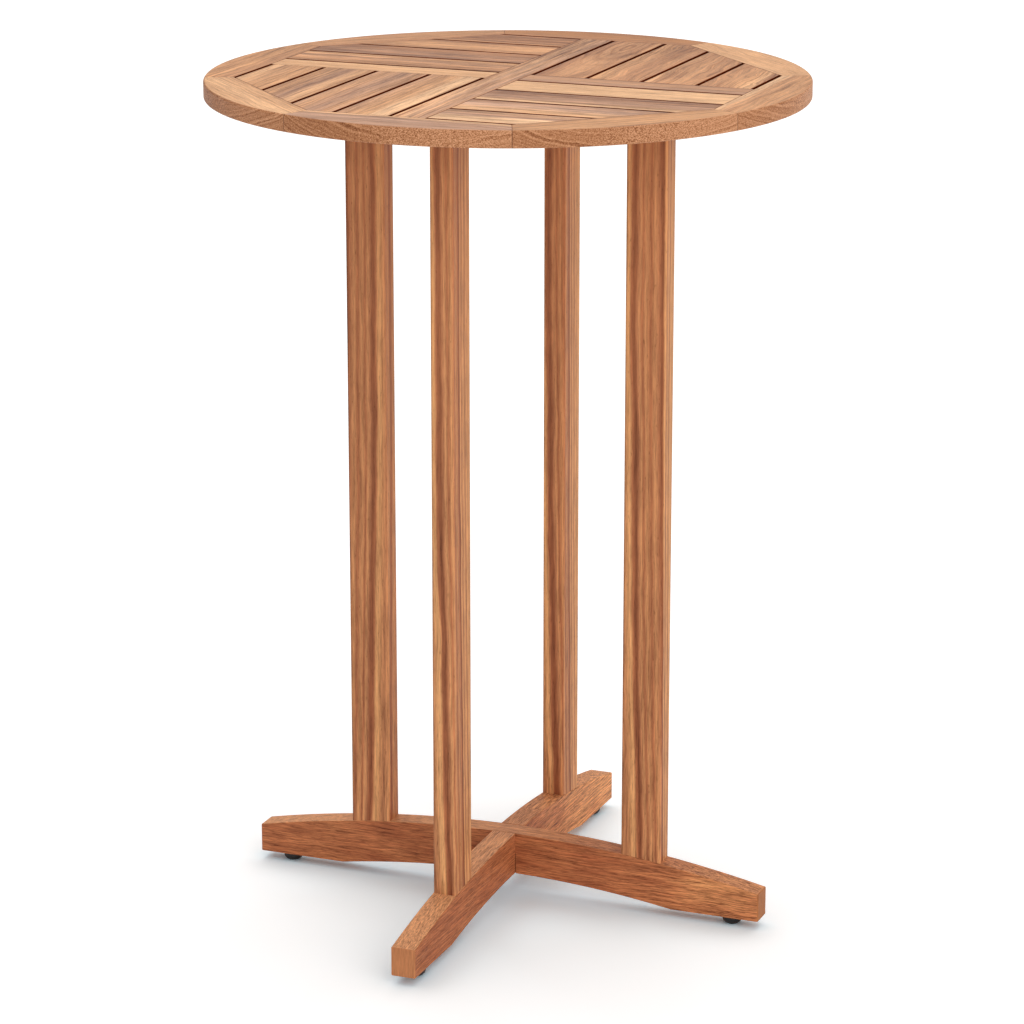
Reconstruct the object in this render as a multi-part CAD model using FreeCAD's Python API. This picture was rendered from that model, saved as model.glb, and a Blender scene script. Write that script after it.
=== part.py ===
import FreeCAD
import Part
import math
import os

# A round bar table. The origin is on the floor, on the table's axis, with Z up.
# X runs along the beam that lies on top at the base's crossing, and Y runs along the other beam.
# All lengths are in millimetres.

# Whole table
table_diameter = 700.0
table_height = 1000.0

# Table top: eight mitred rim pieces round an octagon, which rails and slats fill
top_thickness = 20.0
rim_width = 58.5
rim_edge_radius = 2.0
rail_width = 40.0
slat_gap = 4.5
slats_per_quarter = 4
arris = 0.5
tongue_length = 8.0
tongue_thickness = 6.0
groove_gap = 0.2

# Crossed battens that join the top to the posts
batten_width = 30.0
batten_height = 22.0
batten_overhang = 14.0
batten_edge_radius = 1.5

# Posts, with their depth along the beam that they stand on
post_depth = 50.0
post_width = 28.0
post_offset = 176.0
post_edge_radius = 2.0

# Base beams, with a crowned upper side and an arched underside between two flat ends
beam_length = 650.0
beam_width = 30.0
beam_end_height = 35.0
beam_crown_height = 69.5
beam_flat_length = 110.0
beam_arch_rise = 17.8
beam_edge_radius = 1.5
lower_lap_gap = 0.8
upper_lap_gap = 0.1

# Adjustable feet: a dome on a stem that turns in a threaded insert
foot_inset = 37.0
foot_height = 10.0
foot_seat_gap = 0.3
foot_top_radius = 11.5
foot_lip_height = 1.8
foot_bottom_radius = 6.5
foot_bottom_edge_radius = 1.2
foot_floor_thickness = 3.5
stem_radius = 4.0
stem_reach = 26.0
stem_bevel = 0.8
running_gap = 0.05
foot_insert_radius = 5.5
foot_insert_length = 18.0
foot_hole_end_gap = 4.0

# Bolts, washers and threaded inserts at both ends of each post
bolt_radius = 4.0
bolt_head_radius = 7.0
bolt_head_height = 5.0
bolt_engagement = 22.0
bolt_end_gap = 3.0
bolt_bevel = 0.8
socket_radius = 2.9
socket_depth = 3.0
washer_radius = 8.0
washer_thickness = 1.6
counterbore_radius = 9.0
base_counterbore_depth = 18.0
top_counterbore_depth = 7.2
insert_radius = 6.0
insert_length = 25.0

# Dowels
dowel_radius = 4.0
dowel_bevel = 0.6
dowel_end_gap = 0.5
dowel_edge_distance = 9.0
base_dowel_length = 40.0
top_dowel_length = 30.0
top_dowel_in_batten = 12.0
mitre_dowel_length = 36.0

# Wood screws
screw_radius = 2.2
screw_head_radius = 4.4
screw_head_height = 2.6
screw_tip_length = 5.0
screw_recess_radius = 1.6
screw_recess_depth = 1.8
screw_bite_share = 0.6
top_screw_place_shares = (0.30, 0.78)
lap_screw_offset = 7.0
lap_counterbore_depth = 6.0
lap_screw_cover = 12.0

# Clearance of glued and screwed pieces in their holes, how far a cut runs past a face,
# and how closely an edge lies at the level that it is looked for
hole_gap = 0.1
overrun = 5.0
level_tolerance = 0.01

# Counts and angles
rim_pieces = 8
arms = 4
hex_corners = 6
full_turn = 360.0
rim_angle = full_turn / rim_pieces
quarter_turn = full_turn / arms

# Levels and lines that several pieces share
table_radius = table_diameter / 2
inner_apothem = table_radius - rim_width
groove_depth = tongue_length + groove_gap
rail_half = rail_width / 2
slat_width = (inner_apothem - rail_half - (slats_per_quarter + 1) * slat_gap) / slats_per_quarter
top_underside = table_height - top_thickness
top_middle = table_height - top_thickness / 2
batten_underside = top_underside - batten_height
batten_half_length = post_offset + post_depth / 2 + batten_overhang
beam_underside = foot_height
beam_half_length = beam_length / 2
arch_half_span = beam_half_length - beam_flat_length
arch_top = beam_underside + beam_arch_rise
crown_top = beam_underside + beam_crown_height
crown_rise = beam_crown_height - beam_end_height
crown_radius = (beam_half_length ** 2 + crown_rise ** 2) / (2 * crown_rise)
base_lap_level = (arch_top + crown_top) / 2
batten_lap_level = (batten_underside + top_underside) / 2
foot_offset = beam_half_length - foot_inset
dowel_offset = post_depth / 2 - dowel_edge_distance

tongue_levels = (top_middle - tongue_thickness / 2, top_middle + tongue_thickness / 2)
groove_levels = (tongue_levels[0] - groove_gap, tongue_levels[1] + groove_gap)
top_levels = (top_underside, table_height)

X_AXIS = FreeCAD.Vector(1, 0, 0)
Y_AXIS = FreeCAD.Vector(0, 1, 0)
Z_AXIS = FreeCAD.Vector(0, 0, 1)
ORIGIN = FreeCAD.Vector(0, 0, 0)


def crown_level(distance):
    """Height of the beam's crowned upper side at a distance from the axis."""
    return crown_top - crown_radius + math.sqrt(crown_radius ** 2 - distance ** 2)


def box(x_range, y_range, z_range):
    size = [high - low for low, high in (x_range, y_range, z_range)]
    corner = FreeCAD.Vector(x_range[0], y_range[0], z_range[0])
    return Part.makeBox(size[0], size[1], size[2], corner)


def both_ways(length):
    return (-length, length)


def rod(radius, z_range, x=0, y=0):
    base = FreeCAD.Vector(x, y, z_range[0])
    return Part.makeCylinder(radius, z_range[1] - z_range[0], base, Z_AXIS)


def cone(low_radius, high_radius, z_range):
    base = FreeCAD.Vector(0, 0, z_range[0])
    return Part.makeCone(low_radius, high_radius, z_range[1] - z_range[0], base, Z_AXIS)


def polygon_prism(corner_radius, corners, first_angle, z_range):
    """An upright prism on a regular polygon round the Z axis."""
    points = []
    for index in range(corners + 1):
        angle = math.radians(first_angle + index * full_turn / corners)
        x = corner_radius * math.cos(angle)
        y = corner_radius * math.sin(angle)
        points.append(FreeCAD.Vector(x, y, z_range[0]))
    face = Part.Face(Part.makePolygon(points))
    return face.extrude(Z_AXIS * (z_range[1] - z_range[0]))


def octagon(apothem, z_range):
    """The top's octagon, with flat sides across X and Y, at any size."""
    corner_radius = apothem / math.cos(math.radians(rim_angle / 2))
    return polygon_prism(corner_radius, rim_pieces, rim_angle / 2, z_range)


def turned(shape, angle):
    copy = shape.copy()
    copy.rotate(ORIGIN, Z_AXIS, angle)
    return copy


def moved(shape, x, y, z):
    copy = shape.copy()
    copy.translate(FreeCAD.Vector(x, y, z))
    return copy


def upside_down(shape):
    copy = shape.copy()
    copy.rotate(ORIGIN, X_AXIS, full_turn / 2)
    return copy


def seam_cut(start, end):
    """A square bar with one edge down, along a line, that bevels the edges on both sides of it."""
    run = end - start
    side = arris * math.sqrt(2)
    bar = Part.makeBox(run.Length + 2 * overrun, side, side, FreeCAD.Vector(-overrun, -side / 2, -side / 2))
    bar.rotate(ORIGIN, X_AXIS, quarter_turn / 2)
    bar.rotate(ORIGIN, Z_AXIS, math.degrees(math.atan2(run.y, run.x)))
    bar.translate(start)
    return bar


def edges_at_level(solid, level):
    """The edges that lie wholly in one level plane."""
    found = []
    for edge in solid.Edges:
        bounds = edge.BoundBox
        if max(abs(bounds.ZMin - level), abs(bounds.ZMax - level)) < level_tolerance:
            found.append(edge)
    return found


def upright_edges(solid):
    found = []
    for edge in solid.Edges:
        bounds = edge.BoundBox
        if max(bounds.XLength, bounds.YLength) < level_tolerance:
            found.append(edge)
    return found


# Fasteners and dowels, each made at the origin and pointing up

def bolt(length):
    """Button-head bolt: the head hangs below the origin and the shank rises from it."""
    shank = rod(bolt_radius, (0, length - bolt_bevel))
    tip = cone(bolt_radius, bolt_radius - bolt_bevel, (length - bolt_bevel, length))
    head = rod(bolt_head_radius, (-bolt_head_height, 0))
    rim = edges_at_level(head, -bolt_head_height)
    head = head.makeFillet(bolt_head_height / 2, rim)
    socket_levels = (-bolt_head_height - overrun, socket_depth - bolt_head_height)
    socket = polygon_prism(socket_radius, hex_corners, 0, socket_levels)
    return head.fuse([shank, tip]).removeSplitter().cut(socket)


def washer():
    """Flat washer whose top is at the origin."""
    ring = rod(washer_radius, (-washer_thickness, 0))
    return ring.cut(rod(bolt_radius + hole_gap, (-washer_thickness - overrun, overrun)))


def insert(radius, length, bore_radius):
    """Threaded insert that rises from the origin."""
    return rod(radius, (0, length)).cut(rod(bore_radius, (-overrun, length + overrun)))


def dowel(length):
    """Dowel with bevelled ends, centred on the origin."""
    body = rod(dowel_radius, both_ways(length / 2))
    ends = edges_at_level(body, length / 2) + edges_at_level(body, -length / 2)
    return body.makeChamfer(dowel_bevel, ends)


def dowel_hole(length):
    return rod(dowel_radius + hole_gap, both_ways(length / 2 + dowel_end_gap))


def screw(length):
    """Countersunk wood screw: its head is flush with the origin and its tip is up."""
    head = cone(screw_head_radius, screw_radius, (0, screw_head_height))
    shank = rod(screw_radius, (screw_head_height, length - screw_tip_length))
    tip = cone(screw_radius, 0, (length - screw_tip_length, length))
    recess = polygon_prism(screw_recess_radius, hex_corners, 0, (-overrun, screw_recess_depth))
    return head.fuse([shank, tip]).removeSplitter().cut(recess)


def screw_hole(length, mouth_depth):
    """Countersunk hole for a screw, open downwards by a mouth as wide as the head."""
    mouth = rod(screw_head_radius + hole_gap, (-mouth_depth, 0))
    head = cone(screw_head_radius + hole_gap, screw_radius + hole_gap, (0, screw_head_height))
    shank = rod(screw_radius + hole_gap, (0, length + hole_gap))
    return mouth.fuse([head, shank])


# Table top

def rim_segment():
    """One mitred rim piece on the +X side, with its groove, dowel holes and bevelled seams."""
    disc = rod(table_radius, top_levels)
    round_edges = edges_at_level(disc, table_height) + edges_at_level(disc, top_underside)
    disc = disc.makeFillet(rim_edge_radius, round_edges)
    reach = table_diameter
    half_width = reach * math.tan(math.radians(rim_angle / 2))
    wedge_points = [
        ORIGIN,
        FreeCAD.Vector(reach, -half_width, 0),
        FreeCAD.Vector(reach, half_width, 0),
        ORIGIN,
    ]
    wedge = Part.Face(Part.makePolygon(wedge_points)).extrude(Z_AXIS * (table_height + overrun))
    segment = disc.common(wedge).cut(octagon(inner_apothem, (0, table_height + overrun)))
    segment = segment.cut(octagon(inner_apothem + groove_depth, groove_levels))

    corner_radius = inner_apothem / math.cos(math.radians(rim_angle / 2))
    cuts = []
    corners = []
    for side in (-1, 1):
        direction = turned(Part.Vertex(X_AXIS), side * rim_angle / 2).Point
        corner = direction * corner_radius + Z_AXIS * table_height
        corners.append(corner)
        cuts.append(seam_cut(corner, direction * table_radius + Z_AXIS * table_height))
        cuts.append(turned(mitre_dowel_tool(dowel_hole(mitre_dowel_length)), side * rim_angle / 2))
    cuts.append(seam_cut(corners[0], corners[1]))
    return segment.cut(cuts)


def mitre_dowel_tool(shape):
    """Lays an upright dowel or its hole across the mitre on the +X axis, midway along the mitre."""
    corner_radius = (inner_apothem + groove_depth) / math.cos(math.radians(rim_angle / 2))
    copy = shape.copy()
    copy.rotate(ORIGIN, X_AXIS, quarter_turn)
    return moved(copy, (corner_radius + table_radius) / 2, 0, top_middle)


def main_rail():
    """The rail that runs right across the top along Y, grooved on both sides."""
    full = box(both_ways(rail_half), both_ways(table_radius), top_levels)
    rail = full.common(octagon(inner_apothem, top_levels))
    rail = rail.makeChamfer(arris, edges_at_level(rail, table_height))
    for side in (-1, 1):
        near, far = sorted((side * (rail_half - groove_depth), side * (rail_half + overrun)))
        rail = rail.cut(box((near, far), both_ways(table_radius), groove_levels))
    tongue = box(both_ways(rail_half - groove_depth), both_ways(table_radius), tongue_levels)
    tongue = tongue.common(octagon(inner_apothem + tongue_length, tongue_levels))
    return rail.fuse(tongue).removeSplitter()


def cross_rail():
    """The left half rail, from the main rail to the rim, grooved on the side where slats end."""
    full = box((-table_radius, -rail_half), both_ways(rail_half), top_levels)
    rail = full.common(octagon(inner_apothem, top_levels))
    rail = rail.makeChamfer(arris, edges_at_level(rail, table_height))
    rail = rail.cut(box((-table_radius, 0), (-rail_half - overrun, groove_depth - rail_half), groove_levels))
    along = (-table_radius, tongue_length - rail_half)
    tongue = box(along, both_ways(rail_half - groove_depth), tongue_levels)
    tongue = tongue.common(octagon(inner_apothem + tongue_length, tongue_levels))
    return rail.fuse(tongue).removeSplitter()


def slat(number):
    """A slat of the front left quarter, counted outwards from the main rail."""
    near = rail_half + slat_gap + (number - 1) * (slat_width + slat_gap)
    across = (-near - slat_width, -near)
    body = box(across, (-table_radius, -rail_half), top_levels).common(octagon(inner_apothem, top_levels))
    body = body.makeChamfer(arris, edges_at_level(body, table_height))
    tongue = box(across, (-table_radius, tongue_length - rail_half), tongue_levels)
    tongue = tongue.common(octagon(inner_apothem + tongue_length, tongue_levels))
    return body.fuse(tongue).removeSplitter()


# Under-frame and posts

def batten_blank():
    """A batten along X before its lap is cut."""
    bar = box(both_ways(batten_half_length), both_ways(batten_width / 2), (batten_underside, top_underside))
    return bar.makeFillet(batten_edge_radius, edges_at_level(bar, batten_underside))


def lap_notch(half_width, z_range):
    """The notch that a crossing piece fills, in a piece that runs along X."""
    return box(both_ways(half_width), both_ways(beam_width + batten_width), z_range)


top_screw_length = batten_height + screw_bite_share * top_thickness


def top_screw_places():
    """Distances from the axis of the screws along one arm of a batten."""
    near = batten_width / 2
    far = post_offset - post_depth / 2
    return [near + share * (far - near) for share in top_screw_place_shares]


def top_screws(shape):
    """Copies of a screw or its hole, at the axis and along each of the four arms."""
    copies = [moved(shape, 0, 0, batten_underside)]
    for arm in range(arms):
        for distance in top_screw_places():
            copies.append(turned(moved(shape, distance, 0, batten_underside), arm * quarter_turn))
    return copies


def on_arms(shape):
    """Four copies of a shape on the +X arm, one for each arm."""
    return [turned(shape, arm * quarter_turn) for arm in range(arms)]


def post():
    """The post on the +X arm, with its foot cut to the beam's crown."""
    along = (post_offset - post_depth / 2, post_offset + post_depth / 2)
    bar = box(along, both_ways(post_width / 2), (beam_underside, batten_underside))
    bar = bar.makeFillet(post_edge_radius, upright_edges(bar))
    centre = FreeCAD.Vector(0, -beam_width, crown_top - crown_radius)
    crown = Part.makeCylinder(crown_radius, 2 * beam_width, centre, Y_AXIS)
    return bar.cut(crown)


# The joint at each end of a post: a bolt, a washer, an insert and two dowels

base_bearing_level = beam_underside + base_counterbore_depth
base_insert_level = crown_level(post_offset - insert_radius)
base_bolt_tip = base_insert_level + bolt_engagement
top_bearing_level = top_underside - top_counterbore_depth
top_bolt_tip = batten_underside - bolt_engagement
top_dowel_middle = batten_underside + top_dowel_in_batten - top_dowel_length / 2


def base_bolt():
    length = base_bolt_tip - base_bearing_level + washer_thickness
    return moved(bolt(length), post_offset, 0, base_bearing_level - washer_thickness)


def base_washer():
    return moved(washer(), post_offset, 0, base_bearing_level)


def base_insert():
    piece = insert(insert_radius, insert_length, bolt_radius + hole_gap)
    return moved(piece, post_offset, 0, base_insert_level)


def base_joint_holes():
    """What is drilled into the beam and the post on the +X arm for their joint."""
    bolt_hole_levels = (base_bearing_level - overrun, base_bolt_tip + bolt_end_gap)
    insert_hole_foot = crown_level(post_offset + insert_radius)
    insert_hole_levels = (insert_hole_foot, base_insert_level + insert_length + hole_gap)
    return [
        rod(counterbore_radius, (0, base_bearing_level), post_offset),
        rod(bolt_radius + hole_gap, bolt_hole_levels, post_offset),
    ], [
        rod(insert_radius + hole_gap, insert_hole_levels, post_offset),
        rod(bolt_radius + hole_gap, bolt_hole_levels, post_offset),
    ]


def base_dowels(shape):
    """Copies of a dowel or its hole at the foot of the +X post."""
    places = [post_offset + side * dowel_offset for side in (-1, 1)]
    return [moved(shape, place, 0, crown_level(place)) for place in places]


def top_bolt():
    length = top_bearing_level - top_bolt_tip + washer_thickness
    return moved(upside_down(bolt(length)), post_offset, 0, top_bearing_level + washer_thickness)


def top_washer():
    return moved(upside_down(washer()), post_offset, 0, top_bearing_level)


def top_insert():
    piece = insert(insert_radius, insert_length, bolt_radius + hole_gap)
    return moved(upside_down(piece), post_offset, 0, batten_underside)


def top_joint_holes():
    """What is drilled into the batten and the post on the +X arm for their joint."""
    bolt_hole_levels = (top_bolt_tip - bolt_end_gap, top_bearing_level + overrun)
    insert_hole_levels = (batten_underside - insert_length - hole_gap, batten_underside + overrun)
    return [
        rod(counterbore_radius, (top_bearing_level, top_underside + overrun), post_offset),
        rod(bolt_radius + hole_gap, bolt_hole_levels, post_offset),
    ], [
        rod(insert_radius + hole_gap, insert_hole_levels, post_offset),
        rod(bolt_radius + hole_gap, bolt_hole_levels, post_offset),
    ]


def top_dowels(shape):
    """Copies of a dowel or its hole at the head of the +X post."""
    return [moved(shape, post_offset + side * dowel_offset, 0, top_dowel_middle) for side in (-1, 1)]


# Base beams

def beam_blank():
    """A beam along X before its lap and holes are cut."""
    def point(x, z):
        return FreeCAD.Vector(x, -beam_width / 2, z)

    end_top = beam_underside + beam_end_height
    edges = [
        Part.makeLine(point(-beam_half_length, beam_underside), point(-arch_half_span, beam_underside)),
        Part.Arc(
            point(-arch_half_span, beam_underside), point(0, arch_top), point(arch_half_span, beam_underside)
        ).toShape(),
        Part.makeLine(point(arch_half_span, beam_underside), point(beam_half_length, beam_underside)),
        Part.makeLine(point(beam_half_length, beam_underside), point(beam_half_length, end_top)),
        Part.Arc(
            point(beam_half_length, end_top), point(0, crown_top), point(-beam_half_length, end_top)
        ).toShape(),
        Part.makeLine(point(-beam_half_length, end_top), point(-beam_half_length, beam_underside)),
    ]
    blank = Part.Face(Part.Wire(edges)).extrude(Y_AXIS * beam_width)
    return blank.makeFillet(beam_edge_radius, blank.Edges)


lap_screw_head_level = arch_top + lap_counterbore_depth
lap_screw_length = crown_top - lap_screw_cover - lap_screw_head_level


def lap_screws(shape):
    """Copies of a screw or its hole on the diagonal of the base's crossing."""
    places = (-lap_screw_offset, lap_screw_offset)
    return [moved(shape, place, place, lap_screw_head_level) for place in places]


# Adjustable feet, on the +X arm

def foot_insert():
    piece = insert(foot_insert_radius, foot_insert_length, stem_radius + running_gap)
    return moved(piece, foot_offset, 0, beam_underside)


def foot_hole():
    """The stepped hole in the beam for the insert and, above it, the end of the stem."""
    insert_levels = (beam_underside - overrun, beam_underside + foot_insert_length + hole_gap)
    stem_levels = (beam_underside, beam_underside + stem_reach + foot_hole_end_gap)
    wide = rod(foot_insert_radius + hole_gap, insert_levels, foot_offset)
    return wide.fuse(rod(stem_radius + running_gap, stem_levels, foot_offset))


def foot_stem():
    """The threaded stem, drawn at its outer diameter, from inside the dome to inside the beam."""
    levels = (foot_floor_thickness + hole_gap, beam_underside + stem_reach)
    stem = rod(stem_radius, levels)
    stem = stem.makeChamfer(stem_bevel, edges_at_level(stem, levels[1]))
    return moved(stem, foot_offset, 0, 0)


def foot_dome():
    """The moulded dome: a flat top under a short lip, a bulging side and a flat sole."""
    top = beam_underside - foot_seat_gap
    lip = top - foot_lip_height
    bulge_share = 0.72
    bulge = FreeCAD.Vector(
        foot_bottom_radius + bulge_share * (foot_top_radius - foot_bottom_radius), 0, lip * (1 - bulge_share)
    )
    corners = [
        FreeCAD.Vector(0, 0, 0),
        FreeCAD.Vector(foot_bottom_radius, 0, 0),
        FreeCAD.Vector(foot_top_radius, 0, lip),
        FreeCAD.Vector(foot_top_radius, 0, top),
        FreeCAD.Vector(0, 0, top),
    ]
    edges = [
        Part.makeLine(corners[0], corners[1]),
        Part.Arc(corners[1], bulge, corners[2]).toShape(),
        Part.makeLine(corners[2], corners[3]),
        Part.makeLine(corners[3], corners[4]),
        Part.makeLine(corners[4], corners[0]),
    ]
    dome = Part.Face(Part.Wire(edges)).revolve(ORIGIN, Z_AXIS, full_turn)
    dome = Part.Solid(dome) if dome.ShapeType == "Shell" else dome
    dome = dome.makeFillet(foot_bottom_edge_radius, edges_at_level(dome, 0))
    dome = dome.makeFillet(foot_lip_height / 2, edges_at_level(dome, top))
    socket = rod(stem_radius + running_gap, (foot_floor_thickness, top + overrun))
    return moved(dome.cut(socket), foot_offset, 0, 0)


nodes = {}

# Top
rim_names = (
    "rim_right", "rim_back_right", "rim_back", "rim_back_left",
    "rim_left", "rim_front_left", "rim_front", "rim_front_right",
)
rim_piece = rim_segment()
for index, name in enumerate(rim_names):
    nodes[name] = turned(rim_piece, index * rim_angle)
mitre_dowel = mitre_dowel_tool(dowel(mitre_dowel_length))
nodes["rim_dowels"] = [turned(mitre_dowel, (index + 1 / 2) * rim_angle) for index in range(rim_pieces)]

top_screw_holes = top_screws(screw_hole(top_screw_length, overrun))
nodes["main_rail"] = main_rail().cut(top_screw_holes)
left_rail = cross_rail()
nodes["cross_rail_left"] = left_rail.cut(top_screw_holes)
nodes["cross_rail_right"] = turned(left_rail, full_turn / 2).cut(top_screw_holes)

quarter_names = ("front_left", "front_right", "back_right", "back_left")
for number in range(1, slats_per_quarter + 1):
    piece = slat(number)
    for quarter, quarter_name in enumerate(quarter_names):
        nodes["slat_%s_%d" % (quarter_name, number)] = turned(piece, quarter * quarter_turn)

# Under-frame
batten_joint_holes, post_head_holes = top_joint_holes()
batten_holes = []
for hole in batten_joint_holes + top_dowels(dowel_hole(top_dowel_length)):
    batten_holes.extend(on_arms(hole))
batten_holes.extend(top_screw_holes)
lower_half = lap_notch(batten_width / 2, (batten_underside - overrun, batten_lap_level))
upper_half = lap_notch(batten_width / 2, (batten_lap_level, top_underside + overrun))
nodes["top_batten_x"] = batten_blank().cut([lower_half] + batten_holes)
nodes["top_batten_y"] = turned(batten_blank().cut(upper_half), quarter_turn).cut(batten_holes)
nodes["top_screws"] = top_screws(screw(top_screw_length))

# Base beams
beam_joint_holes, post_foot_holes = base_joint_holes()
beam_holes = []
for hole in beam_joint_holes + base_dowels(dowel_hole(base_dowel_length)) + [foot_hole()]:
    beam_holes.extend(on_arms(hole))
beam_holes.extend(lap_screws(screw_hole(lap_screw_length, lap_counterbore_depth + overrun)))
lower_notch = lap_notch(beam_width / 2 + lower_lap_gap, (0, base_lap_level))
upper_notch = lap_notch(beam_width / 2 + upper_lap_gap, (base_lap_level, crown_top + overrun))
nodes["base_beam_x"] = beam_blank().cut([lower_notch] + beam_holes)
nodes["base_beam_y"] = turned(beam_blank().cut(upper_notch), quarter_turn).cut(beam_holes)
nodes["base_lap_screws"] = lap_screws(screw(lap_screw_length))

# Posts, with their joints at both ends
post_holes = post_head_holes + top_dowels(dowel_hole(top_dowel_length))
post_holes += post_foot_holes + base_dowels(dowel_hole(base_dowel_length))
post_piece = post().cut(post_holes)
arm_names = ("right", "back", "left", "front")
for arm, name in enumerate(arm_names):
    nodes["post_" + name] = turned(post_piece, arm * quarter_turn)
joint_groups = {
    "post_base_bolts": [base_bolt()],
    "post_base_washers": [base_washer()],
    "post_base_inserts": [base_insert()],
    "post_base_dowels": base_dowels(dowel(base_dowel_length)),
    "post_top_bolts": [top_bolt()],
    "post_top_washers": [top_washer()],
    "post_top_inserts": [top_insert()],
    "post_top_dowels": top_dowels(dowel(top_dowel_length)),
    "foot_inserts": [foot_insert()],
}
for name, pieces in joint_groups.items():
    nodes[name] = [copy for piece in pieces for copy in on_arms(piece)]

# Feet
stem_piece = foot_stem()
dome_piece = foot_dome()
for arm, name in enumerate(arm_names):
    nodes["foot_stem_" + name] = turned(stem_piece, arm * quarter_turn)
    nodes["foot_dome_" + name] = turned(dome_piece, arm * quarter_turn)

os.makedirs("parts", exist_ok=True)
for name, shape in nodes.items():
    solids = shape if isinstance(shape, list) else shape.Solids
    for solid in solids:
        if not solid.isValid():
            raise ValueError(name + " is not a sound solid")
    result = Part.makeCompound(solids) if len(solids) > 1 else solids[0]
    result.exportStep("parts/" + name + ".step")
    volume = sum(solid.Volume for solid in solids)
    print(name, len(solids), "solids", round(volume), "mm3")
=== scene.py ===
import bpy
import math
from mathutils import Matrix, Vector


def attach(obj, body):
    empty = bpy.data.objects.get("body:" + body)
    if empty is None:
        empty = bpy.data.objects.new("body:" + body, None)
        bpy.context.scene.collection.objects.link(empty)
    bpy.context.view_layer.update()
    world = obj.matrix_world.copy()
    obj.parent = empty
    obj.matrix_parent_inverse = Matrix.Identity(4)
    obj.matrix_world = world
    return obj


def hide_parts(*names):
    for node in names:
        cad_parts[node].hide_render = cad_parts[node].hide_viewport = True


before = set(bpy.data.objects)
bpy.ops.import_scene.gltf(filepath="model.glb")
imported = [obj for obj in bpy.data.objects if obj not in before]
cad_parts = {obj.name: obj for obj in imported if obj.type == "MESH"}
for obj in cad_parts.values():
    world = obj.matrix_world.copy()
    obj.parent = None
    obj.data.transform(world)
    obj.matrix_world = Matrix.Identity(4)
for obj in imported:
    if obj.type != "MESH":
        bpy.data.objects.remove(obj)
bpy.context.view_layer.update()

MM = 0.001
X = (1, 0, 0)
Y = (0, 1, 0)
Z = (0, 0, 1)


def box(node):
    """A node's low and high corners in millimetres, to a hundredth."""
    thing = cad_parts[node]
    corners = [thing.matrix_world @ Vector(corner) for corner in thing.bound_box]
    low = [round(min(corner[axis] for corner in corners) / MM, 2) for axis in range(3)]
    high = [round(max(corner[axis] for corner in corners) / MM, 2) for axis in range(3)]
    return low, high


# Sizes of the table that the looks depend on, in millimetres

rim_low, rim_high = box("rim_right")
rail_low, rail_high = box("main_rail")
slat_low, slat_high = box("slat_back_right_1")
post_low, post_high = box("post_right")
beam_low, beam_high = box("base_beam_x")
batten_low, batten_high = box("top_batten_x")
stem_low, stem_high = box("foot_stem_right")

TABLE_RADIUS = rim_high[0]
OPENING_APOTHEM = rim_low[0]
RIM_WIDTH = TABLE_RADIUS - OPENING_APOTHEM
RAIL_HALF = rail_high[0]
SLAT_GAP = slat_low[0] - RAIL_HALF
SLAT_WIDTH = slat_high[0] - slat_low[0]
TOP_MIDDLE = (rail_low[2] + rail_high[2]) / 2
TOP_HALF = (rail_high[2] - rail_low[2]) / 2
POST_OFFSET = (post_low[0] + post_high[0]) / 2
POST_HALF_WIDTH = (post_high[0] - post_low[0]) / 2
POST_HALF_THICKNESS = post_high[1]
BEAM_HALF_LENGTH = (beam_high[0] - beam_low[0]) / 2
BATTEN_HALF_LENGTH = (batten_high[0] - batten_low[0]) / 2
BATTEN_MIDDLE = (batten_low[2] + batten_high[2]) / 2
FOOT_OFFSET = (stem_low[0] + stem_high[0]) / 2
STEM_RADIUS = (stem_high[0] - stem_low[0]) / 2
STEM_LEVELS = (stem_low[2], stem_high[2])
THREAD_PITCH = 1.25
THREAD_DEPTH = 0.62

# Places, widths and depths that belong to the looks alone, in millimetres

BOARD_ORIGIN = 150
POST_ORIGIN = 500
BEAM_ORIGIN = 45
FADE_REACH = 140
EDGE_START = 2.2
EDGE_FULL = 0.6
SEAM_START = 1.4
SEAM_FULL = 0.4
WOOD_RELIEF = 0.12

# How much the oiled wood shines

TOP_SHEEN = 0.25
FRAME_SHEEN = 0.2

# Camera, floor and light: places in metres, angles in degrees and the lens in millimetres

CAMERA_PLACE = (1.6357, -4.0972, 1.7300)
CAMERA_TILT = 15.835
CAMERA_TURN = 21.703
LENS = 135.73
FLOOR_SIZE = 60
FLOOR_DROP = 0.0002
SHADOW_REACH = 0.35
FLOOR_BRIGHTNESS = 1.22
AMBIENT_LIGHT = 0.50


# Colours

def srgb(red, green, blue):
    """A screen colour as the linear values that shaders use."""
    values = []
    for value in (red, green, blue):
        value = value / 255
        values.append(value / 12.92 if value <= 0.04045 else ((value + 0.055) / 1.055) ** 2.4)
    return (*values, 1)


TONES = {
    "cream": (242, 192, 146),
    "straw": (233, 181, 134),
    "pale": (226, 171, 124),
    "honey": (214, 157, 110),
    "tan": (204, 148, 105),
    "rose": (203, 151, 116),
    "ash": (196, 151, 123),
    "brown": (188, 132, 93),
    "russet": (186, 126, 80),
    "grey": (183, 137, 108),
    "walnut": (168, 115, 81),
}
POST_TONES = {
    "amber": (228, 166, 110),
    "gold": (208, 145, 96),
    "mid": (190, 125, 84),
    "russet": (172, 103, 67),
    "umber": (140, 78, 48),
}
EDGE_TONES = [
    (0.0, srgb(116, 58, 22)), (0.25, srgb(160, 101, 61)), (0.5, srgb(189, 129, 87)),
    (0.75, srgb(211, 151, 109)), (1.0, srgb(230, 170, 129)),
]
BEAM_TONES = [
    (0.0, srgb(148, 80, 48)), (0.35, srgb(171, 99, 62)),
    (0.65, srgb(194, 121, 77)), (1.0, srgb(222, 152, 98)),
]
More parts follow.
